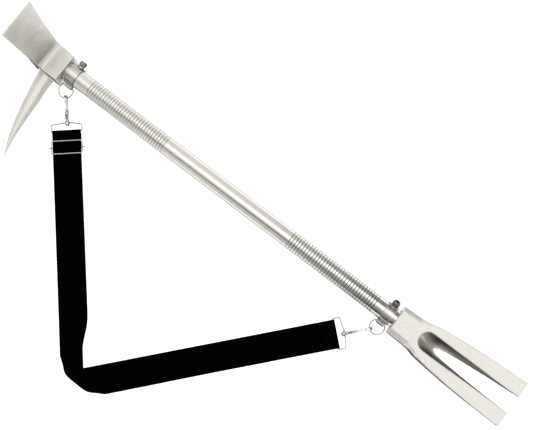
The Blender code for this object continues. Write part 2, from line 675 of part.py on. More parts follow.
def make_strap_loop(end_name, matrix, pivot):
    """The wire eye that the webbing passes through, with a bored boss for the hook's swivel."""
    frame = in_frame(pivot, matrix)
    low, high, back = STRAP_OFFSET - LOOP_HALF_WIDTH, STRAP_OFFSET + LOOP_HALF_WIDTH, -LOOP_DEPTH
    corner = 2.2 * MM
    path = arc((back + corner, low + corner), corner, 180, 270, 4)
    path += arc((-0.9 * MM - corner, low + corner), corner, 270, 360, 4)
    path += [(1.0 * MM, -5.0 * MM), (1.0 * MM, 5.0 * MM)]
    path += arc((-0.9 * MM - corner, high - corner), corner, 0, 90, 4)
    path += arc((back + corner, high - corner), corner, 90, 180, 4)
    wire = wire_curve("strap_loop", [(x, y, 0) for x, y in path], LOOP_WIRE, closed=True)
    name = end_name + "_strap_loop"
    loop = add_object(name, mesh_from_curve(name, wire), frame, "bright_metal")
    for part, radius, reach, operation in (("boss", 3.2, 2.0, "UNION"), ("bore", 1.85, 4.0, "DIFFERENCE")):
        start, end = (-reach * MM + 0.1 * MM, 0, 0), (reach * MM + 0.1 * MM, 0, 0)
        mesh = cylinder_mesh(part, radius * MM, start, end, 24)
        boolean(loop, add_object(end_name + "_swivel_" + part, mesh, frame), operation)


def strap_bar(contact, leg, side):
    """The middle of the webbing on a loop's strap bar, in bar coordinates."""
    reach = (HOOK_REACH + LOOP_DEPTH) * math.cos(HOOK_PITCH)
    point = contact + leg * reach - side * STRAP_OFFSET
    point.z = LOOP_BAR_Z
    return point


HEAD_BAR = strap_bar(HEAD_CONTACT, HEAD_LEG, HEAD_SIDE)
FORK_BAR = strap_bar(FORK_CONTACT, FORK_LEG, FORK_SIDE)
STRAP_TOP_Z = LOOP_BAR_Z + WRAP_RADIUS
STRAP_SLOPE = (STRAP_FLOOR_Z - STRAP_TOP_Z) / STRAP_SETTLES_AT


def smooth(t):
    t = min(max(t, 0.0), 1.0)
    return t * t * (3 - 2 * t)


def head_leg_height(distance):
    """The middle of the webbing over the head leg, from the loop's bar to the ground."""
    return max(STRAP_TOP_Z + STRAP_SLOPE * distance, STRAP_FLOOR_Z)


def fork_leg_height(to_bar, past_fold):
    """The middle of the webbing over the fork leg: across the fold, on the ground, over its tail."""
    over_fold = STRAP_FLOOR_Z + 2 * FOLD_HALF_HEIGHT * (1 - smooth((past_fold - 8 * MM) / (100 * MM)))
    on_tail = STRAP_FLOOR_Z + STRAP_THICKNESS + LAYER_GAP
    near_bar = on_tail + (STRAP_TOP_Z - on_tail) * (1 - smooth(to_bar / (20 * MM)))
    settled = STRAP_FLOOR_Z + (near_bar - STRAP_FLOOR_Z) * (1 - smooth((to_bar - 42 * MM) / (30 * MM)))
    return max(over_fold, settled)


def strap_stations():
    """Distances from the head loop's bar of the rows across the webbing, and its whole length."""
    fold_distance = ((UNTURN @ HEAD_BAR).y - FOLD_Y) / math.sin(LEG_ANGLE)
    wrap_length = FOLD_WRAP / math.sin(LEG_ANGLE)
    total = fold_distance + wrap_length + ((UNTURN @ FORK_BAR).y - FOLD_Y) / math.sin(LEG_ANGLE)
    bend = STRAP_WIDTH / 2 / math.tan(LEG_ANGLE) + 2 * MM
    marks = [fold_distance * i / 10 for i in range(1, 9)]
    first, last = fold_distance - bend, fold_distance + wrap_length + bend
    steps = 26
    marks += [first + (last - first) * i / steps for i in range(steps + 1)]
    marks += [last + (total - 75 * MM - last) * i / 10 for i in range(1, 11)]
    marks += [total - d * MM for d in (65, 57, 50, 42, 34, 26, 18, 12, 6)]
    return marks, total


def folded_point(distance, across, total):
    """A point of the flat webbing, carried round the half-turn of the soft fold."""
    flat = UNTURN @ (HEAD_BAR + HEAD_LEG * distance + HEAD_SIDE * across)
    beyond = FOLD_Y - flat.y
    if beyond <= 0:
        place = Vector((flat.x, flat.y, head_leg_height(distance)))
    elif beyond < FOLD_WRAP:
        length, reach, height = FOLD_PROFILE
        y = FOLD_Y - np.interp(beyond, length, reach)
        place = Vector((flat.x, y, STRAP_FLOOR_Z + np.interp(beyond, length, height)))
    else:
        height = fork_leg_height(total - distance, beyond - FOLD_WRAP)
        place = Vector((flat.x, FOLD_Y + beyond - FOLD_WRAP, height))
    return FOLD_TURN @ place


def wrap_points(bar, leg, start_deg, end_deg, steps):
    """The webbing's middle round a loop's bar, as (distance along the leg, height) from the bar."""
    turn = arc((0, 0), WRAP_RADIUS, start_deg, end_deg, steps)
    return [bar + leg * along + Vector((0, 0, up)) for along, up in turn]


def ribbon_mesh(name, rows):
    """A thin closed band through rows of points that run across the webbing."""
    bm = bmesh.new()
    grid = [[bm.verts.new(point) for point in row] for row in rows]
    for row, following in zip(grid, grid[1:]):
        for i in range(len(row) - 1):
            bm.faces.new((row[i], row[i + 1], following[i + 1], following[i]))
    mesh = bpy.data.meshes.new(name)
    bm.to_mesh(mesh)
    bm.free()
    return mesh


def add_ribbon(name, rows, pivot):
    ribbon = add_object(name, ribbon_mesh(name, rows), in_frame(pivot, Matrix.Identity(4)), "webbing")
    modifier = ribbon.modifiers.new("webbing_thickness", "SOLIDIFY")
    modifier.thickness = STRAP_THICKNESS
    modifier.offset = 0
    return ribbon


def make_webbing(pivot):
    """One length of webbing: round the head loop's bar, both legs, and round the fork loop's bar."""
    columns = [STRAP_WIDTH * (i / 8 - 0.5) for i in range(9)]
    rows = []
    for point in wrap_points(HEAD_BAR, HEAD_LEG, 255, 90, 7):
        rows.append([point + HEAD_SIDE * across for across in columns])
    marks, total = strap_stations()
    for distance in marks:
        rows.append([folded_point(distance, across, total) for across in columns])
    for point in wrap_points(FORK_BAR, FORK_LEG, 90, 270, 8):
        rows.append([point + FORK_SIDE * across for across in columns])
    for out in (12, 22, 32, 38):
        sink = smooth(out / 12)
        height = LOOP_BAR_Z - WRAP_RADIUS + (STRAP_FLOOR_Z - LOOP_BAR_Z + WRAP_RADIUS) * sink
        point = FORK_BAR + FORK_LEG * out * MM
        point.z = height
        rows.append([point + FORK_SIDE * across for across in columns])
    add_ribbon("strap_webbing", rows, pivot)


def make_return_layer(pivot):
    """The doubled layer from under the head loop's bar to the stitched turn round the centre bar."""
    bar_z = head_leg_height(ADJUSTER_CENTRE) - CENTRE_BAR_DROP
    turn_radius = CENTRE_BAR_WIRE + STRAP_THICKNESS / 2 + 0.15 * MM
    path = [(1.2 * MM, LOOP_BAR_Z - WRAP_RADIUS), (10 * MM, bar_z - turn_radius)]
    path += arc((ADJUSTER_CENTRE, bar_z), turn_radius, 270, 450, 6)
    path.append((ADJUSTER_CENTRE - RETURN_TAIL, bar_z + turn_radius - 0.2 * MM))
    rows = []
    for along, height in path:
        centre = HEAD_BAR + HEAD_LEG * along
        centre.z = height
        rows.append([centre + HEAD_SIDE * across * STRAP_WIDTH for across in (-0.5, 0, 0.5)])
    add_ribbon("strap_return", rows, pivot)


def adjuster_matrix(drop):
    """Local +X along the strap away from the hook, +Z off its face, at the adjuster's middle."""
    slope = math.atan(STRAP_SLOPE)
    forward = HEAD_LEG * math.cos(slope) + Vector((0, 0, math.sin(slope)))
    upward = -HEAD_LEG * math.sin(slope) + Vector((0, 0, math.cos(slope)))
    rotation = Matrix((forward, upward.cross(forward), upward)).transposed().to_4x4()
    centre = HEAD_BAR + HEAD_LEG * ADJUSTER_CENTRE
    centre.z = head_leg_height(ADJUSTER_CENTRE) - drop
    return Matrix.Translation(centre) @ rotation


def make_adjuster(bar_pivot, frame_pivot):
    rise = STRAP_THICKNESS / 2 + 0.3 * MM + ADJUSTER_WIRE
    length, width = ADJUSTER_HALF_LENGTH, ADJUSTER_HALF_WIDTH
    corners = [(-length, -width), (length, -width), (length, width), (-length, width)]
    path = [(x, y, rise) for x, y in rounded_outline(corners, 2.5 * MM)]
    wire = wire_curve("adjuster_frame", path, ADJUSTER_WIRE, closed=True)
    add_object("adjuster_frame", wire, in_frame(frame_pivot, adjuster_matrix(0)), "bright_metal")

    half = ((0, 0), (19.4, 0), (20.9, 0.5), (22.1, 1.7), (22.7, 3.0), (23.7, 3.9))
    path = [(0, -y * MM, z * MM) for y, z in reversed(half[1:])] + [(0, y * MM, z * MM) for y, z in half]
    wire = wire_curve("adjuster_bar", path, CENTRE_BAR_WIRE)
    frame = in_frame(bar_pivot, adjuster_matrix(CENTRE_BAR_DROP))
    add_object("adjuster_bar", wire, frame, "bright_metal")


def main():
    make_shaft()
    make_head()
    make_fork()
    ends = (
        ("head", HEAD_CLAMP_X, HEAD_SCREW_ANGLE, HEAD_CONTACT, HEAD_LEG),
        ("fork", FORK_CLAMP_X, FORK_SCREW_ANGLE, FORK_CONTACT, FORK_LEG),
    )
    sling = make_empty("sling_pivot", HEAD_CONTACT, BAR_AXIS)
    for end_name, clamp_x, screw_angle, contact, leg in ends:
        ring_pivot = make_empty(end_name + "_ring_pivot", (clamp_x, BARREL_Y, BARREL_Z), BAR_AXIS)
        make_anchor(end_name, clamp_x, screw_angle, (ring_pivot, Matrix.Identity(4)))
        matrix = hook_matrix(contact, leg)
        swivel = make_empty(end_name + "_swivel", matrix.translation - HEAD_CONTACT, sling)
        gate_at = matrix @ GATE_PIVOT - matrix.translation
        gate = make_empty(end_name + "_gate_pivot", gate_at, swivel)
        make_hook(end_name, matrix, swivel, gate)
        make_strap_loop(end_name, matrix, sling)
    make_webbing(sling)
    make_return_layer(sling)
    slide = make_empty("adjuster_slide", adjuster_matrix(0).translation - HEAD_CONTACT, sling)
    make_adjuster(slide, slide)


main()
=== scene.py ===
"""The looks of the halligan bar and its sling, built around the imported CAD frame. Metres, +Z up.

Sizes repeat the CAD model's own. The sling's route and the bar's profile are worked out from a few
driving dimensions in bar coordinates, whose origin is on the shaft's centre line at the adze's root.
"""

import math

import bmesh
import bpy
import numpy as np
from mathutils import Matrix, Vector


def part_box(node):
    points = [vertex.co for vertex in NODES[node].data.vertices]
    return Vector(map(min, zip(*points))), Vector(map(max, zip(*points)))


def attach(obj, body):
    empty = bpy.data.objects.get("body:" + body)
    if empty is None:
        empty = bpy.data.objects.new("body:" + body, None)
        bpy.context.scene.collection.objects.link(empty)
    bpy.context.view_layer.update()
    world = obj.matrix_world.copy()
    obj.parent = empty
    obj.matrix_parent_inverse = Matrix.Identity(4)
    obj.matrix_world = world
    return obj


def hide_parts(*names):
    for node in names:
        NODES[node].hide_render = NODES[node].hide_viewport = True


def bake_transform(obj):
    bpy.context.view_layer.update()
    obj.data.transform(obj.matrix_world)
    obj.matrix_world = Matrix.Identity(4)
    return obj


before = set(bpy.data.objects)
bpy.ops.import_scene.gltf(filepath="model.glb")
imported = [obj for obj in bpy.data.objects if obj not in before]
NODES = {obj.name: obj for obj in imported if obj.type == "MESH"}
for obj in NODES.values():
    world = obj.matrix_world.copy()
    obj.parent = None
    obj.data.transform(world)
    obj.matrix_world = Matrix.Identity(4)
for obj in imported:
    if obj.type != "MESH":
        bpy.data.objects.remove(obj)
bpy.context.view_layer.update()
SCENE = bpy.context.scene

MM = 0.001
ENDS = ("head", "fork")

# The bar's axis in the frame: halfway up and across the shaft, and at the adze's root
SHAFT_LOW, SHAFT_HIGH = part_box("shaft")
SHAFT_START_X = 4.0 * MM
BAR = Vector((SHAFT_LOW.x - SHAFT_START_X, 0, 0))
BAR.y = (SHAFT_LOW.y + SHAFT_HIGH.y) / 2
BAR.z = (SHAFT_LOW.z + SHAFT_HIGH.z) / 2
SHAFT_RADIUS = 12.7 * MM

# Camera: nearly straight above, turned so that the bar runs down to the right
CAMERA_PLACE = BAR + Vector((0.4278, -0.1140, 1.1352))
CAMERA_AIM = Vector((-0.06139, 0.10552, -0.99252))
PICTURE_UP_DEG = 127.26
CAMERA_LENS_MM = 59.09

# Shaft and its turned grip grooves, in bar coordinates
SHAFT_END_X = 600.0 * MM
GROOVE_PITCH = 4.0 * MM
GROOVE_DEPTH = 0.4 * MM
GRIPS = ((72 * MM, 32), (402 * MM, 35))

# Clamps and rings: where each clamp sits, and which way its screw points
CLAMP_X = {"head": 42.9 * MM, "fork": 559.8 * MM}
SCREW_ANGLE = {"head": math.radians(12), "fork": math.radians(38)}
SCREW_TIP = 13.0 * MM
SCREW_HEAD_BASE = 16.6 * MM
SCREW_HEAD_HEIGHT = 6.0 * MM
KNURLS = 30
KNURL_DEPTH = 0.3 * MM
BARREL = Vector((0, -15.3 * MM, -6.8 * MM))
RING_RADIUS = 9.9 * MM
RING_HALF_CHORD = 7.2 * MM
RING_TILT = math.radians(10)
CONTACT_ANGLE = math.radians(52)

# Webbing: its section, where it lies on the ground, and how far it sits off its loops' middles
STRAP_WIDTH = 38.1 * MM
STRAP_THICKNESS = 1.2 * MM
STRAP_FLOOR_Z = -17.3 * MM
STRAP_OFFSET = 1.6 * MM
LAYER_GAP = 0.2 * MM
TAIL_LENGTH = 38.0 * MM

# The soft fold, where the webbing turns back over itself
FOLD_REACH = 13.0 * MM
FOLD_HALF_HEIGHT = 6.0 * MM
FOLD_Y = -298.5 * MM
FOLD_SKEW = math.radians(-0.6)
FOLD_BLUNTING = 0.6

# The head leg's inner edge curls up before the fold; distances are from the fold's line
CURL_WIDTH = 22.0 * MM
CURL_ANGLE = math.radians(78)
CURL_STARTS, CURL_GROWS_OVER = 68.0 * MM, 38.0 * MM
CURL_ENDS_PAST, CURL_FADES_OVER = 2.0 * MM, 14.0 * MM

# How the two legs change height: down from the head loop, down off the fold, over the turned-under
# tail, and up to the fork loop
STRAP_SETTLES_AT = 250.0 * MM
FOLD_SETTLES_FROM, FOLD_SETTLES_OVER = 8.0 * MM, 100.0 * MM
TAIL_STEP_FROM, TAIL_STEP_OVER = 42.0 * MM, 30.0 * MM
TAIL_DROP = 12.0 * MM
BAR_RISE = 20.0 * MM

# Hooks and loops: from ring to swivel, from swivel to strap bar, and the gate spring's two ends
HOOK_REACH = 34.0 * MM
LOOP_DEPTH = 11.0 * MM
LOOP_BAR_Z = -14.4 * MM
WRAP_RADIUS = 1.95 * MM
SPRING_FIXED_TO = 11.2 * MM
SPRING_FREE_FROM = 12.9 * MM

# The slide adjuster's centre bar and the doubled layer round it
ADJUSTER_CENTRE = 21.4 * MM
CENTRE_BAR_DROP = 2.9 * MM
CENTRE_BAR_TURN = 1.55 * MM
RETURN_START = 1.2 * MM
RETURN_TAIL = 12.0 * MM

# The sewn box at the fork loop: how far its ends are from the strap bar, its half-width and its threads
STITCH_FAR, STITCH_NEAR, STITCH_HALF_WIDTH = 33.0 * MM, 12.0 * MM, 15.5 * MM
STITCH_PITCH = 3.0 * MM
STITCH_RADIUS = 0.34 * MM
STITCH_STANDS = 0.1 * MM

# Studio: one soft box, the sky's strength, and a floor that glows a little
LIGHT_PLACE = Vector((0.1, 0.25, 2.2))
LIGHT_TARGET = Vector((0.1, 0, 0))
LIGHT_SIZE = (2.6, 0.6)
LIGHT_WATTS = 1.6
SKY_STRENGTH = 1.5
FLOOR_HALF_SIZE = 14.0
FLOOR_GLOW = 0.92


# ---------------------------------------------------------------- camera, floor and light


def make_camera():
    """A plain pinhole camera, turned about its own line of sight."""
    data = bpy.data.cameras.new("camera")
    data.lens = CAMERA_LENS_MM
    data.sensor_width = 36.0
    data.clip_end = 20.0
    camera = bpy.data.objects.new("camera", data)
    SCENE.collection.objects.link(camera)
    forward = CAMERA_AIM.normalized()
    heading = math.radians(PICTURE_UP_DEG)
    hint = Vector((math.cos(heading), math.sin(heading), 0))
    right = forward.cross(hint).normalized()
    up = right.cross(forward)
    rotation = Matrix((right, up, -forward)).transposed().to_4x4()
    camera.matrix_world = Matrix.Translation(CAMERA_PLACE) @ rotation
    SCENE.camera = camera


make_camera()


def make_light():
    """One wide soft box above the bar."""
    data = bpy.data.lights.new("overhead", "AREA")
    data.shape = "RECTANGLE"
    data.size, data.size_y = LIGHT_SIZE
    data.energy = LIGHT_WATTS
    light = bpy.data.objects.new("overhead", data)
    SCENE.collection.objects.link(light)
    light.location = LIGHT_PLACE
    light.rotation_euler = (LIGHT_TARGET - LIGHT_PLACE).to_track_quat("-Z", "Y").to_euler()


# The sky's brightness by angle in degrees from straight up, from the pike's side over to the far
# side: first as seen towards the head, then as seen towards the fork
HEAD_SKY = (
    (-90, 0.49), (-66, 0.50), (-54, 0.50), (-49, 0.17), (-34, 0.15), (-29, 0.55),
    (-18, 0.80), (14, 0.82), (24, 0.62), (34, 0.58), (90, 0.58),
)
FORK_SKY = (
    (-90, 0.16), (-80, 0.01), (-62, 0.01), (-54, 0.18), (-30, 0.25), (-18, 0.36), (-8, 0.84),
    (18, 1.0), (27, 0.70), (34, 0.16), (50, 0.08), (70, 0.18), (90, 0.22),
)


def sky_ramp(nodes, links, share, sky):
    """Slightly warm grey levels of a sky; share goes from 0 at -90 degrees to 1 at 90."""
    ramp = nodes.new("ShaderNodeValToRGB")
    links.new(share, ramp.inputs[0])
    for angle, _ in sky[1:-1]:
        ramp.color_ramp.elements.new((angle + 90) / 180)
    for element, (_, level) in zip(ramp.color_ramp.elements, sky):
        element.color = (level, level * 0.99, level * 0.965, 1)
    return ramp.outputs[0]


def blend_colours(nodes, links, factor, first, second):
    blend = nodes.new("ShaderNodeMixRGB")
    links.new(factor, blend.inputs["Fac"])
    links.new(first, blend.inputs["Color1"])
    links.new(second, blend.inputs["Color2"])
    return blend.outputs[0]


def make_sky():
    """Soft banks of light along the bar, fading to an even grey at its two ends."""
    world = bpy.data.worlds.new("studio")
    SCENE.world = world
    world.use_nodes = True
    nodes, links = world.node_tree.nodes, world.node_tree.links
    split = nodes.new("ShaderNodeSeparateXYZ")
    links.new(nodes.new("ShaderNodeTexCoord").outputs["Generated"], split.inputs[0])
    around = nodes.new("ShaderNodeMath")
    around.operation = "ARCTAN2"
    links.new(split.outputs["Y"], around.inputs[0])
    links.new(split.outputs["Z"], around.inputs[1])
    quarter = math.radians(90)
    share = value_between(nodes, links, around.outputs[0], 0.0, 1.0, (-quarter, quarter))
    skies = [sky_ramp(nodes, links, share, sky) for sky in (HEAD_SKY, FORK_SKY)]
    towards_fork = value_between(nodes, links, split.outputs["X"], 0.0, 1.0, (-0.06, 0.10))
    sky = blend_colours(nodes, links, towards_fork, *skies)
    plain = nodes.new("ShaderNodeRGB")
    plain.outputs[0].default_value = (0.5, 0.495, 0.485, 1)
    endways = facing_share(nodes, links, split.outputs["X"], 0.45, 0.65)
    sky = blend_colours(nodes, links, endways, sky, plain.outputs[0])
    links.new(sky, nodes["Background"].inputs["Color"])
    nodes["Background"].inputs["Strength"].default_value = SKY_STRENGTH


def make_floor():
    data = bpy.data.meshes.new("floor")
    bm = bmesh.new()
    bmesh.ops.create_grid(bm, x_segments=1, y_segments=1, size=FLOOR_HALF_SIZE)
    bm.to_mesh(data)
    bm.free()
    floor = bpy.data.objects.new("floor", data)
    SCENE.collection.objects.link(floor)
    material, shader, nodes, links = new_material("studio_floor", (0.93, 0.93, 0.925), 0.7)
    grain = noise(nodes, 60.0, 3.0)
    tone = colour_between(nodes, links, grain, (0.92, 0.92, 0.915), (0.94, 0.94, 0.935))
    links.new(tone, shader.inputs["Base Color"])
    shader.inputs["Emission Color"].default_value = (1, 1, 1, 1)
    shader.inputs["Emission Strength"].default_value = FLOOR_GLOW
    data.materials.append(material)


# ---------------------------------------------------------------- materials


def new_material(name, colour, roughness, metallic=0.0):
    """A material with its shader and node tree; the colour and roughness hold until they are linked."""
    material = bpy.data.materials.new(name)
    material.use_nodes = True
    nodes, links = material.node_tree.nodes, material.node_tree.links
    shader = nodes["Principled BSDF"]
    shader.inputs["Base Color"].default_value = (*colour, 1)
    shader.inputs["Roughness"].default_value = roughness
    shader.inputs["Metallic"].default_value = metallic
    return material, shader, nodes, links


def noise(nodes, scale, detail=4.0, roughness=0.55, stretch=None):
    """Noise in object coordinates, which are metres; stretch is a scale for each axis."""
    texture = nodes.new("ShaderNodeTexNoise")
    texture.inputs["Scale"].default_value = scale
    texture.inputs["Detail"].default_value = detail
    texture.inputs["Roughness"].default_value = roughness
    where = nodes.new("ShaderNodeTexCoord")
    tree = texture.id_data.links
    if stretch:
        mapping = nodes.new("ShaderNodeMapping")
        mapping.inputs["Scale"].default_value = stretch
        tree.new(where.outputs["Object"], mapping.inputs["Vector"])
        tree.new(mapping.outputs["Vector"], texture.inputs["Vector"])
    else:
        tree.new(where.outputs["Object"], texture.inputs["Vector"])
    return texture.outputs["Fac"]


def colour_between(nodes, links, factor, low, high, span=(0.3, 0.7)):
    ramp = nodes.new("ShaderNodeValToRGB")
    ramp.color_ramp.elements[0].position, ramp.color_ramp.elements[1].position = span
    ramp.color_ramp.elements[0].color = (*low, 1)
    ramp.color_ramp.elements[1].color = (*high, 1)
    links.new(factor, ramp.inputs[0])
    return ramp.outputs[0]


def value_between(nodes, links, factor, low, high, span=(0.3, 0.7)):
    remap = nodes.new("ShaderNodeMapRange")
    remap.inputs["From Min"].default_value, remap.inputs["From Max"].default_value = span
    remap.inputs["To Min"].default_value = low
    remap.inputs["To Max"].default_value = high
    links.new(factor, remap.inputs["Value"])
    return remap.outputs["Result"]


def bump(nodes, links, height, distance, under=None):
    node = nodes.new("ShaderNodeBump")
    node.inputs["Strength"].default_value = 1.0
    node.inputs["Distance"].default_value = distance
    links.new(height, node.inputs["Height"])
    if under is not None:
        links.new(under, node.inputs["Normal"])
    return node.outputs["Normal"]


def facing_share(nodes, links, component, start, end, low=0.0, high=1.0):
    """A value that goes from low to high as one component of a direction, of either sign, grows."""
    size = nodes.new("ShaderNodeMath")
    size.operation = "ABSOLUTE"
    links.new(component, size.inputs[0])
    return value_between(nodes, links, size.outputs[0], low, high, (start, end))


def facing(nodes, links, axis, start, end, low, high):
    """A value that goes from low to high as a surface turns to face along one axis of the scene."""
    normal = nodes.new("ShaderNodeNewGeometry").outputs["Normal"]
    split = nodes.new("ShaderNodeSeparateXYZ")
    links.new(normal, split.inputs[0])
    return facing_share(nodes, links, split.outputs[axis], start, end, low, high)


def scaled(nodes, links, colour, *factors):
    for factor in factors:
        scale = nodes.new("ShaderNodeVectorMath")
        scale.operation = "SCALE"
        links.new(colour, scale.inputs[0])
        links.new(factor, scale.inputs["Scale"])
        colour = scale.outputs[0]
    return colour


def forged_steel():
    """Satin plating over a hammer-forged skin: fine grit, soft hollows and slightly worn patches, with
    painted shade on faces that turn sideways or endways in the scene.
    """
    material, shader, nodes, links = new_material("forged_steel", (0.74, 0.72, 0.67), 0.42, 1.0)
    cloud = noise(nodes, 38.0, 5.0)
    grit = noise(nodes, 950.0, 3.0, 0.7)
    tone = colour_between(nodes, links, cloud, (0.725, 0.712, 0.672), (0.83, 0.817, 0.777))
    # Painted shade: colour and reflection tint darken, down to a quarter, on faces that turn towards
    # either side of the bar
    painted_flank_shade = facing(nodes, links, "Y", 0.70, 0.96, 1.0, 0.25)
    # Painted shade: colour darkens to 0.66 on faces that turn along the bar, towards either end
    face = facing(nodes, links, "X", 0.7, 0.95, 1.0, 0.66)
    links.new(painted_flank_shade, shader.inputs["Specular Tint"])
    speckle = value_between(nodes, links, grit, 0.86, 1.06, (0.35, 0.65))
    links.new(scaled(nodes, links, tone, painted_flank_shade, face, speckle), shader.inputs["Base Color"])
    links.new(value_between(nodes, links, cloud, 0.36, 0.46), shader.inputs["Roughness"])
    hollows = bump(nodes, links, noise(nodes, 240.0, 4.0), 0.00030)
    links.new(bump(nodes, links, grit, 0.00022, under=hollows), shader.inputs["Normal"])
    return material


def turned_steel():
    """The polished shaft, with faint turning lines round it and long draw marks along it, and painted
    shade on its sides and in its grip grooves.
    """
    material, shader, nodes, links = new_material("turned_steel", (0.78, 0.77, 0.73), 0.2, 1.0)
    lines = noise(nodes, 500.0, 2.0, 0.6, (1.0, 0.02, 0.02))
    marks = noise(nodes, 420.0, 3.0, 0.6, (0.02, 1.0, 1.0))
    tone = colour_between(nodes, links, marks, (0.74, 0.73, 0.685), (0.84, 0.83, 0.795))
    # Painted shade: colour and reflection tint darken to half on the sides that face across the bar
    edges = facing(nodes, links, "Y", 0.62, 0.99, 1.0, 0.50)
    links.new(edges, shader.inputs["Specular Tint"])
    where = nodes.new("ShaderNodeSeparateXYZ")
    links.new(nodes.new("ShaderNodeTexCoord").outputs["Object"], where.inputs[0])
    # Painted shade in the grip grooves: walls facing along the bar darken, to 0.52 at the head end and
    # 0.16 at the fork end
    grooves = facing(nodes, links, "X", 0.15, 0.6, 1.0, 0.5)
    painted_groove_shade_level = value_between(nodes, links, where.outputs["X"], 0.52, 0.16, (-0.25, 0.15))
    links.new(painted_groove_shade_level, grooves.node.inputs["To Max"])
    links.new(scaled(nodes, links, tone, edges, grooves), shader.inputs["Base Color"])
    satin = value_between(nodes, links, where.outputs["X"], 0.20, 0.0, (-0.30, 0.10))
    gloss = nodes.new("ShaderNodeMath")
    links.new(value_between(nodes, links, lines, 0.10, 0.20), gloss.inputs[0])
    links.new(satin, gloss.inputs[1])
    links.new(gloss.outputs[0], shader.inputs["Roughness"])
    links.new(bump(nodes, links, lines, 0.00004), shader.inputs["Normal"])
    return material


def plated_steel():
    """Nickel plate on stamped and bent hardware, a little dull in random patches, with painted shade on
    its sides.
    """
    material, shader, nodes, links = new_material("plated_steel", (0.80, 0.78, 0.74), 0.24, 1.0)
    cloud = noise(nodes, 210.0, 4.0)
    tone = colour_between(nodes, links, cloud, (0.64, 0.625, 0.59), (0.84, 0.825, 0.79))
    # Painted shade: colour darkens as a face turns away from straight up, to 0.14 on upright faces
    edges = facing(nodes, links, "Z", 0.50, 0.99, 0.14, 1.0)
    links.new(scaled(nodes, links, tone, edges), shader.inputs["Base Color"])
    links.new(value_between(nodes, links, cloud, 0.18, 0.34), shader.inputs["Roughness"])
    links.new(bump(nodes, links, noise(nodes, 900.0, 2.0), 0.00004), shader.inputs["Normal"])
    return material


def screw_steel():
    """Black-oxide cap screw, brighter in random patches, with painted shade on the faces that turn away
    from straight up.
    """
    material, shader, nodes, links = new_material("screw_steel", (0.30, 0.29, 0.27), 0.35, 1.0)
    cloud = noise(nodes, 420.0, 4.0)
    tone = colour_between(nodes, links, cloud, (0.26, 0.25, 0.235), (0.56, 0.55, 0.52))
    # Painted shade: colour darkens as a face turns away from straight up, to 0.10 on upright faces
    sides = facing(nodes, links, "Z", 0.55, 0.99, 0.10, 1.0)
    links.new(scaled(nodes, links, tone, sides), shader.inputs["Base Color"])
    links.new(value_between(nodes, links, cloud, 0.26, 0.45), shader.inputs["Roughness"])
    links.new(bump(nodes, links, noise(nodes, 1500.0, 2.0), 0.00005), shader.inputs["Normal"])
    return material


def pin_steel():
    """Plain dull steel of the hidden drive pins."""
    material, shader, nodes, links = new_material("pin_steel", (0.45, 0.44, 0.42), 0.4, 1.0)
    cloud = noise(nodes, 300.0, 3.0)
    tone = colour_between(nodes, links, cloud, (0.36, 0.35, 0.33), (0.55, 0.54, 0.51))
    links.new(tone, shader.inputs["Base Color"])
    links.new(value_between(nodes, links, cloud, 0.3, 0.5), shader.inputs["Roughness"])
    return material


def webbing_cloth():
    """Flat black webbing: ribs across the band and a fine twill between them, from its own lay."""
    material, shader, nodes, links = new_material("black_webbing", (0.0008, 0.0008, 0.0009), 0.9)
    shader.inputs["Specular IOR Level"].default_value = 0.008
    lay = nodes.new("ShaderNodeAttribute")
    lay.attribute_name = "lay"
    twill = nodes.new("ShaderNodeTexWave")
    twill.wave_type = "BANDS"
    twill.bands_direction = "DIAGONAL"
    twill.inputs["Scale"].default_value = 260.0
    twill.inputs["Distortion"].default_value = 0.4
    ribs = nodes.new("ShaderNodeTexWave")
    ribs.wave_type = "BANDS"
    ribs.bands_direction = "Y"
    ribs.inputs["Scale"].default_value = 230.0
    ribs.inputs["Distortion"].default_value = 0.3
    for texture in (twill, ribs):
        links.new(lay.outputs["Vector"], texture.inputs["Vector"])
    cloud = noise(nodes, 55.0, 4.0)
    tone = colour_between(nodes, links, cloud, (0.0005, 0.0005, 0.0006), (0.0012, 0.0012, 0.0014))
    links.new(tone, shader.inputs["Base Color"])
    dullness = value_between(nodes, links, twill.outputs["Fac"], 0.78, 0.95, (0, 1))
    links.new(dullness, shader.inputs["Roughness"])
    coarse = bump(nodes, links, ribs.outputs["Fac"], 0.00012)
    links.new(bump(nodes, links, twill.outputs["Fac"], 0.00010, under=coarse), shader.inputs["Normal"])
    return material


def thread():
    """Bonded black thread, a shade lighter than the webbing."""
    material, shader, nodes, links = new_material("black_thread", (0.004, 0.004, 0.0042), 0.6)
    shader.inputs["Specular IOR Level"].default_value = 0.08
    cloud = noise(nodes, 900.0, 2.0)
    tone = colour_between(nodes, links, cloud, (0.003, 0.003, 0.0032), (0.006, 0.006, 0.0065))
    links.new(tone, shader.inputs["Base Color"])
    links.new(bump(nodes, links, cloud, 0.0001), shader.inputs["Normal"])
    return material


# ---------------------------------------------------------------- mesh helpers


def add_piece(name, mesh, material, body):
    """A finished piece that moves with one body."""
    piece = bpy.data.objects.new(name, mesh)
    SCENE.collection.objects.link(piece)
    mesh.materials.clear()
    mesh.materials.append(material)
    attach(piece, body)
    return piece


def apply_modifiers(piece):
    """Bake a piece's modifiers into its mesh."""
    bpy.context.view_layer.update()
    evaluated = piece.evaluated_get(bpy.context.evaluated_depsgraph_get())
    mesh = bpy.data.meshes.new_from_object(evaluated)
    piece.modifiers.clear()
    piece.data = mesh


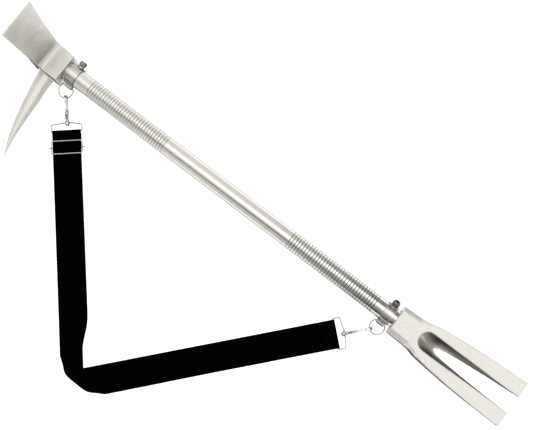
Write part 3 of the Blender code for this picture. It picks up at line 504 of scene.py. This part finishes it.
def refine(node, name, material, body, voxel, rounds):
    """A rounded copy of a CAD node, with its edges eased the way forging or tumbling eases them."""
    mesh = NODES[node].data.copy()
    piece = add_piece(name, mesh, material, body)
    weld = piece.modifiers.new("weld", "WELD")
    weld.merge_threshold = 0.00001
    remesh = piece.modifiers.new("remesh", "REMESH")
    remesh.mode = "VOXEL"
    remesh.voxel_size = voxel
    remesh.adaptivity = 0.0
    ease = piece.modifiers.new("ease", "SMOOTH")
    ease.iterations = rounds
    ease.factor = 0.5
    apply_modifiers(piece)
    piece.data.materials.clear()
    piece.data.materials.append(material)
    piece.data.shade_smooth()
    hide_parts(node)
    return piece


def swept_mesh(name, rings):
    """Quads between rings of points, with a flat cap on each end."""
    bm = bmesh.new()
    grid = [[bm.verts.new(point) for point in ring] for ring in rings]
    for ring, following in zip(grid, grid[1:]):
        for i in range(len(ring)):
            j = (i + 1) % len(ring)
            bm.faces.new((ring[i], ring[j], following[j], following[i]))
    bm.faces.new(grid[0])
    bm.faces.new(grid[-1])
    bmesh.ops.recalc_face_normals(bm, faces=bm.faces)
    mesh = bpy.data.meshes.new(name)
    bm.to_mesh(mesh)
    bm.free()
    mesh.shade_smooth()
    return mesh


# ---------------------------------------------------------------- the sling's route


def fold_profile(steps=96):
    """The webbing's middle round the soft fold: length along it, reach beyond its start, height."""
    angles = [math.pi * i / steps for i in range(steps + 1)]
    reach = [FOLD_REACH * math.sin(a) for a in angles]
    height = [FOLD_HALF_HEIGHT * (1 - math.cos(a)) for a in angles]
    length = [0.0]
    for i in range(steps):
        length.append(length[-1] + math.hypot(reach[i + 1] - reach[i], height[i + 1] - height[i]))
    return length, reach, height


FOLD_PROFILE = fold_profile()
FOLD_WRAP = FOLD_PROFILE[0][-1]
FOLD_TURN = Matrix.Rotation(FOLD_SKEW, 3, "Z")
UNTURN = FOLD_TURN.inverted()


def ring_contact(end):
    """The point on a ring's wire where its hook pulls, in bar coordinates."""
    drop = math.sqrt(RING_RADIUS**2 - RING_HALF_CHORD**2)
    out = drop + RING_RADIUS * math.sin(CONTACT_ANGLE)
    inward = 1 if end == "head" else -1
    along = inward * RING_RADIUS * math.cos(CONTACT_ANGLE)
    return Vector((CLAMP_X[end] + along, 0, 0)) + BARREL - Vector(
        (0, out * math.cos(RING_TILT), out * math.sin(RING_TILT))
    )


def leg_angle():
    """How steeply both legs run down from the bar, so that the webbing just reaches both hooks."""
    head, fork = UNTURN @ ring_contact("head"), UNTURN @ ring_contact("fork")
    return math.atan2(head.y + fork.y - 2 * FOLD_Y + FOLD_WRAP, fork.x - head.x)


LEG_ANGLE = leg_angle()
ALONG, ACROSS = math.cos(LEG_ANGLE), math.sin(LEG_ANGLE)
LEG = {
    "head": FOLD_TURN @ Vector((ALONG, -ACROSS, 0)),
    "fork": FOLD_TURN @ Vector((-ALONG, -ACROSS, 0)),
}
SIDE = {
    "head": FOLD_TURN @ Vector((ACROSS, ALONG, 0)),
    "fork": FOLD_TURN @ Vector((ACROSS, -ALONG, 0)),
}
HOOK_PITCH = math.asin((ring_contact("head").z - LOOP_BAR_Z) / (HOOK_REACH + LOOP_DEPTH))


def strap_bar(end):
    """The middle of the webbing on a loop's strap bar, in bar coordinates."""
    reach = (HOOK_REACH + LOOP_DEPTH) * math.cos(HOOK_PITCH)
    point = ring_contact(end) + LEG[end] * reach - SIDE[end] * STRAP_OFFSET
    point.z = LOOP_BAR_Z
    return point


STRAP_BAR = {end: strap_bar(end) for end in ENDS}
STRAP_TOP_Z = LOOP_BAR_Z + WRAP_RADIUS
FOLD_AT = ((UNTURN @ STRAP_BAR["head"]).y - FOLD_Y) / ACROSS
FOLD_END = FOLD_AT + FOLD_WRAP / ACROSS
STRAP_END = FOLD_END + ((UNTURN @ STRAP_BAR["fork"]).y - FOLD_Y) / ACROSS


def smooth(t):
    """An even S-curve from 0 to 1."""
    t = min(max(t, 0.0), 1.0)
    return t * t * (3 - 2 * t)


def head_leg_height(distance):
    """The head leg slopes down from its loop until it lies on the ground."""
    slope = (STRAP_FLOOR_Z - STRAP_TOP_Z) / STRAP_SETTLES_AT
    return max(STRAP_TOP_Z + slope * distance, STRAP_FLOOR_Z)


def fork_leg_height(to_bar, past_fold):
    """The fork leg comes down off the fold, lies on the ground, and climbs over its tail to its loop."""
    off_fold = 1 - smooth((past_fold - FOLD_SETTLES_FROM) / FOLD_SETTLES_OVER)
    over_fold = STRAP_FLOOR_Z + 2 * FOLD_HALF_HEIGHT * off_fold
    on_tail = STRAP_FLOOR_Z + STRAP_THICKNESS + LAYER_GAP
    by_bar = 1 - smooth(to_bar / BAR_RISE)
    near_bar = on_tail + (STRAP_TOP_Z - on_tail) * by_bar
    over_tail = 1 - smooth((to_bar - TAIL_STEP_FROM) / TAIL_STEP_OVER)
    return max(over_fold, STRAP_FLOOR_Z + (near_bar - STRAP_FLOOR_Z) * over_tail)


def curled_edge(distance, across):
    """The inner edge of the head leg curls up before it runs in under the fold."""
    edge = UNTURN @ (STRAP_BAR["head"] + LEG["head"] * distance + SIDE["head"] * STRAP_WIDTH / 2)
    before = edge.y - FOLD_Y
    grown = smooth((CURL_STARTS - before) / CURL_GROWS_OVER)
    amount = CURL_ANGLE * grown * smooth((before + CURL_ENDS_PAST) / CURL_FADES_OVER)
    past = across - (STRAP_WIDTH / 2 - CURL_WIDTH)
    if past <= 0 or amount < 0.001:
        return across, 0.0
    radius = CURL_WIDTH / amount
    angle = past / radius
    return across - past + radius * math.sin(angle), radius * (1 - math.cos(angle))


def folded_point(distance, across):
    """A point of the flat webbing, carried round the half-turn of the soft fold."""
    curled, lift = curled_edge(distance, across)
    flat = UNTURN @ (STRAP_BAR["head"] + LEG["head"] * distance + SIDE["head"] * across)
    beyond = FOLD_Y - flat.y
    if beyond <= 0:
        flat += UNTURN @ (SIDE["head"] * (curled - across))
        place = Vector((flat.x, flat.y, head_leg_height(distance) + lift))
    elif beyond < FOLD_WRAP:
        length, reach, height = FOLD_PROFILE
        blunt = 1 - FOLD_BLUNTING * abs(across / (STRAP_WIDTH / 2)) ** 5
        y = FOLD_Y - np.interp(beyond, length, reach) * blunt
        place = Vector((flat.x, y, STRAP_FLOOR_Z + np.interp(beyond, length, height)))
    else:
        height = fork_leg_height(STRAP_END - distance, beyond - FOLD_WRAP)
        place = Vector((flat.x, FOLD_Y + beyond - FOLD_WRAP, height))
    return FOLD_TURN @ place


def wrap_point(end, angle, across):
    """A point of the webbing where it lies round a strap bar."""
    turn = LEG[end] * math.cos(angle) + Vector((0, 0, math.sin(angle)))
    return STRAP_BAR[end] + turn * WRAP_RADIUS + SIDE[end] * across


FORK_WRAP = math.pi * WRAP_RADIUS


def webbing_point(distance, across):
    """The webbing's middle surface: round the head bar, down, over the fold, and round the fork bar."""
    if distance < 0:
        return wrap_point("head", math.radians(90) - distance / WRAP_RADIUS, across)
    if distance <= STRAP_END:
        return folded_point(distance, across)
    past = distance - STRAP_END
    if past < FORK_WRAP:
        return wrap_point("fork", math.radians(90) + past / WRAP_RADIUS, across)
    out = past - FORK_WRAP
    point = STRAP_BAR["fork"] + LEG["fork"] * out + SIDE["fork"] * across
    under = LOOP_BAR_Z - WRAP_RADIUS
    point.z = under + (STRAP_FLOOR_Z - under) * smooth(out / TAIL_DROP)
    return point


def surface_normal(point_at, distance, across):
    """The normal of the surface that point_at gives, from small steps along and across it."""
    step = 0.25 * MM
    along = point_at(distance + step, across) - point_at(distance - step, across)
    over = point_at(distance, across + step) - point_at(distance, across - step)
    return along.cross(over).normalized()


def band_mesh(name, point_at, distances, columns=26):
    """Woven band with rounded selvedges; each vertex keeps where it lies along and across it."""
    half = STRAP_WIDTH / 2
    edge = STRAP_THICKNESS * 0.5
    spread = [-half + edge + (STRAP_WIDTH - 2 * edge) * i / (columns - 1) for i in range(columns)]
    rim = half - 0.3 * edge
    ring = [(across, 0.5) for across in spread] + [(rim, 0.3), (half, 0.0), (rim, -0.3)]
    ring += [(across, -0.5) for across in reversed(spread)] + [(-rim, -0.3), (-half, 0.0), (-rim, 0.3)]
    rings, lay = [], []
    for distance in distances:
        row = []
        for across, level in ring:
            normal = surface_normal(point_at, distance, across)
            row.append(BAR + point_at(distance, across) + normal * level * STRAP_THICKNESS)
            lay.append((distance, across, level * STRAP_THICKNESS))
        rings.append(row)
    mesh = swept_mesh(name, rings)
    attribute = mesh.attributes.new("lay", "FLOAT_VECTOR", "POINT")
    attribute.data.foreach_set("vector", np.array(lay, dtype=np.float32).ravel())
    return mesh


def spaced(start, end, step):
    """Even places from start to end, about one step apart."""
    count = max(1, round((end - start) / step))
    return [start + (end - start) * i / count for i in range(count + 1)]


def make_sling_strap():
    """The long webbing, with its stitches."""
    bend = STRAP_WIDTH / 2 / math.tan(LEG_ANGLE) + 4 * MM
    wrap_start = -math.radians(165) * WRAP_RADIUS
    wrap_end = STRAP_END + FORK_WRAP
    stretches = (
        (wrap_start, 0, 0.5), (0, FOLD_AT - bend, 3), (FOLD_AT - bend, FOLD_END + bend, 1.1),
        (FOLD_END + bend, STRAP_END - 75 * MM, 3), (STRAP_END - 75 * MM, STRAP_END, 1.5),
        (STRAP_END, wrap_end, 0.5), (wrap_end, wrap_end + TAIL_LENGTH, 2),
    )
    distances = []
    for start, end, step in stretches:
        distances += spaced(start, end, step * MM)[:-1]
    distances.append(wrap_end + TAIL_LENGTH)
    mesh = band_mesh("sling_webbing", webbing_point, distances)
    strap = add_piece("sling_webbing", mesh, WEBBING, "sling")
    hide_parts("strap_webbing")
    stitches = make_stitches()
    line = [BAR + webbing_point(d, 0) for d in spaced(0, STRAP_END, 4 * MM)]
    length = sum((b - a).length for a, b in zip(line, line[1:]))
    tuple(line[0])
    [tuple(point) for point in line]


def make_stitches():
    """The sewn box that closes the webbing round the fork loop: short threads, pulled in at each end."""
    start, stop, half = STRAP_END - STITCH_FAR, STRAP_END - STITCH_NEAR, STITCH_HALF_WIDTH
    corners = [(start, -half), (stop, -half), (stop, half), (start, half), (start, -half)]
    bm = bmesh.new()
    for (d0, a0), (d1, a1) in zip(corners, corners[1:]):
        count = round(math.hypot(d1 - d0, a1 - a0) / STITCH_PITCH)
        for i in range(count):
            ends = []
            for share in ((i + 0.12) / count, (i + 0.88) / count):
                distance, across = d0 + (d1 - d0) * share, a0 + (a1 - a0) * share
                lift = -surface_normal(webbing_point, distance, across)
                lift = lift if lift.z > 0 else -lift
                lift *= STRAP_THICKNESS / 2 + STITCH_STANDS
                ends.append(BAR + webbing_point(distance, across) + lift)
            middle, run = (ends[0] + ends[1]) / 2, ends[1] - ends[0]
            turn = run.to_track_quat("Z", "Y").to_matrix().to_4x4()
            stretch = Matrix.Diagonal((STITCH_RADIUS, STITCH_RADIUS, run.length / 2, 1))
            matrix = Matrix.Translation(middle) @ turn @ stretch
            bmesh.ops.create_uvsphere(bm, u_segments=8, v_segments=6, radius=1.0, matrix=matrix)
    mesh = bpy.data.meshes.new("sling_stitching")
    bm.to_mesh(mesh)
    bm.free()
    mesh.shade_smooth()
    return add_piece("sling_stitching", mesh, THREAD, "sling")


# ---------------------------------------------------------------- the doubled layer at the adjuster


def return_route():
    """The doubled layer's middle, as (distance, height) pairs in the leg's upright plane."""
    bar_z = head_leg_height(ADJUSTER_CENTRE) - CENTRE_BAR_DROP
    start_z, low_z, high_z = LOOP_BAR_Z - WRAP_RADIUS, bar_z - CENTRE_BAR_TURN, bar_z + CENTRE_BAR_TURN
    points = []
    for i in range(21):
        share = i / 20
        height = start_z + (low_z - start_z) * smooth(share * 1.9)
        points.append((RETURN_START + (ADJUSTER_CENTRE - RETURN_START) * share, height))
    for i in range(1, 17):
        angle = math.radians(270 + 180 * i / 16)
        out = ADJUSTER_CENTRE + CENTRE_BAR_TURN * math.cos(angle)
        points.append((out, bar_z + CENTRE_BAR_TURN * math.sin(angle)))
    for i in range(1, 11):
        share = i / 10
        points.append((ADJUSTER_CENTRE - RETURN_TAIL * share, high_z - LAYER_GAP * share))
    return points


def make_return_layer():
    """The doubled layer round the adjuster's centre bar."""
    route = return_route()
    measured = [0.0]
    for (x0, z0), (x1, z1) in zip(route, route[1:]):
        measured.append(measured[-1] + math.hypot(x1 - x0, z1 - z0))
    along, height = zip(*route)

    def point_at(distance, across):
        out = float(np.interp(distance, measured, along))
        point = STRAP_BAR["head"] + LEG["head"] * out + SIDE["head"] * across
        point.z = float(np.interp(distance, measured, height))
        return point

    inset = 0.3 * MM
    mesh = band_mesh("sling_return", point_at, spaced(inset, measured[-1] - inset, 0.6 * MM), 14)
    piece = bpy.data.objects.new("sling_return", mesh)
    SCENE.collection.objects.link(piece)
    mesh.materials.append(WEBBING)
    start = BAR + point_at(inset, 0)
    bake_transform(piece)
    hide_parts("strap_return")


# ---------------------------------------------------------------- metal


def turned_mesh(name, origin, axis, profile, sides, radius_at=None):
    """A closed turned body; profile holds (distance along the axis, radius) pairs."""
    axis = axis.normalized()
    first = axis.orthogonal().normalized()
    second = axis.cross(first)
    angles = [2 * math.pi * i / sides for i in range(sides)]
    spokes = [first * math.cos(angle) + second * math.sin(angle) for angle in angles]
    rings = []
    for index, (out, radius) in enumerate(profile):
        centre = origin + axis * out
        reach = [radius_at(index, angle, radius) if radius_at else radius for angle in angles]
        rings.append([centre + spoke * r for spoke, r in zip(spokes, reach)])
    return swept_mesh(name, rings)


def make_shaft():
    """The round bar, turned with a run of narrow grip grooves near each end."""
    groove = ((-0.5, 0.0), (-0.32, 0.25), (0.0, 1.0), (0.32, 0.25), (0.5, 0.0))
    profile = [(SHAFT_START_X, SHAFT_RADIUS)]
    for start, count in GRIPS:
        profile.append((start - 3 * MM, SHAFT_RADIUS))
        for i in range(count):
            x = start + i * GROOVE_PITCH
            for shift, depth in groove:
                profile.append((x + shift * MM, SHAFT_RADIUS - depth * GROOVE_DEPTH))
        profile.append((x + 4 * MM, SHAFT_RADIUS))
    profile.append((SHAFT_END_X, SHAFT_RADIUS))
    mesh = turned_mesh("shaft_turned", BAR, Vector((1, 0, 0)), profile, 96)
    mesh.set_sharp_from_angle(angle=math.radians(28))
    shaft = add_piece("shaft_turned", mesh, TURNED, "bar")
    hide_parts("shaft")


def make_screw(end):
    """Cap screw: plain shank, straight-knurled head and hexagon socket."""
    radial = Vector((0, math.cos(SCREW_ANGLE[end]), math.sin(SCREW_ANGLE[end])))
    base, top = SCREW_HEAD_BASE, SCREW_HEAD_BASE + SCREW_HEAD_HEIGHT
    profile = [
        (SCREW_TIP, 2.6 * MM), (SCREW_TIP + 0.4 * MM, 3.0 * MM), (base, 3.0 * MM), (base, 4.5 * MM),
        (base + 0.3 * MM, 4.85 * MM), (base + 0.7 * MM, 5.0 * MM), (top - 1.1 * MM, 5.0 * MM),
        (top - 0.6 * MM, 4.75 * MM), (top - 0.15 * MM, 4.5 * MM), (top, 4.1 * MM),
        (top, 2.62 * MM), (top - 0.25 * MM, 2.45 * MM), (top - 3.0 * MM, 2.45 * MM),
    ]
    knurled, socket = (5, 6), (11, 12)

    def radius_at(index, angle, radius):
        if index in knurled:
            return radius - KNURL_DEPTH * abs(math.sin(KNURLS / 2 * angle))
        if index in socket:
            return radius / math.cos((angle % math.radians(60)) - math.radians(30))
        return radius

    name, origin = f"{end}_cap_screw", BAR + Vector((CLAMP_X[end], 0, 0))
    mesh = turned_mesh(name, origin, radial, profile, 180, radius_at)
    mesh.set_sharp_from_angle(angle=math.radians(35))
    screw = add_piece(name, mesh, SCREW, "bar")
    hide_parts(f"{end}_clamp_screw")


def make_gate_spring(end):
    """The gate's wire spring, which sits in the hook behind the pivot, copied from its CAD node."""
    node = NODES[f"{end}_gate_spring"]
    mesh = node.data.copy()
    mesh.materials.clear()
    mesh.materials.append(PLATED)
    spring = bpy.data.objects.new(f"{end}_wire_spring", mesh)
    SCENE.collection.objects.link(spring)
    spring.matrix_world = node.matrix_world.copy()
    forward = Vector((0, 0, math.sin(HOOK_PITCH))) - LEG[end] * math.cos(HOOK_PITCH)
    swivel = BAR + ring_contact(end) - forward * HOOK_REACH
    start, pivot = swivel + forward * SPRING_FIXED_TO, swivel + forward * SPRING_FREE_FROM
    tuple(start)
    tuple(pivot)
    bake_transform(spring)
    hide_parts(f"{end}_gate_spring")


def forge(node, name):
    """A forging's skin: eased edges and the shallow unevenness that hammering and scale leave."""
    piece = refine(node, name, FORGED, "bar", 0.7 * MM, 4)
    hollows = bpy.data.textures.new(name + "_hollows", "CLOUDS")
    hollows.noise_scale = 0.012
    uneven = piece.modifiers.new("uneven", "DISPLACE")
    uneven.texture = hollows
    uneven.texture_coords = "LOCAL"
    uneven.strength = 0.5 * MM
    uneven.mid_level = 0.5
    apply_modifiers(piece)


# ---------------------------------------------------------------- build

SCENE.view_settings.view_transform = "Standard"
make_sky()
make_light()
make_floor()
FORGED = forged_steel()
TURNED = turned_steel()
PLATED = plated_steel()
SCREW = screw_steel()
PIN = pin_steel()
WEBBING = webbing_cloth()
THREAD = thread()

make_sling_strap()
make_return_layer()

END_MATERIALS = (
    ("gate_pin", PLATED), ("gate_spring", PLATED), ("drive_pin", PIN), ("clamp_band", PLATED),
    ("d_ring", PLATED), ("strap_loop", PLATED), ("hook_body", PLATED), ("hook_gate", PLATED),
    ("clamp_screw", SCREW),
)
# Rounded hardware at each end: CAD node, name, body, voxel in mm, rounds of smoothing
END_HARDWARE = (
    ("clamp_band", "rolled_band", "bar", 0.35, 3), ("d_ring", "bent_ring", "{}_ring", 0.25, 3),
    ("strap_loop", "bent_loop", "sling", 0.3, 3), ("hook_body", "cast_hook", "{}_hook", 0.25, 3),
    ("hook_gate", "stamped_gate", "{}_gate", 0.2, 2),
)
for end in ENDS:
    for part, material in END_MATERIALS:
        NODES[f"{end}_{part}"].material_slots[0].material = material
    make_screw(end)
    make_gate_spring(end)
    for part, name, body, voxel, rounds in END_HARDWARE:
        node, name = f"{end}_{part}", f"{end}_{name}"
        refine(node, name, PLATED, body.format(end), voxel * MM, rounds)
for part, material in (
    ("shaft", TURNED), ("adjuster_frame", PLATED), ("adjuster_bar", PLATED),
    ("strap_webbing", WEBBING), ("strap_return", WEBBING),
):
    NODES[part].material_slots[0].material = material
for part, name in (("adjuster_frame", "bent_frame"), ("adjuster_bar", "bent_bar")):
    refine(part, name, PLATED, part, 0.25 * MM, 3)

make_shaft()
forge("head_forging", "head_forging_skin")
forge("fork_forging", "fork_forging_skin")
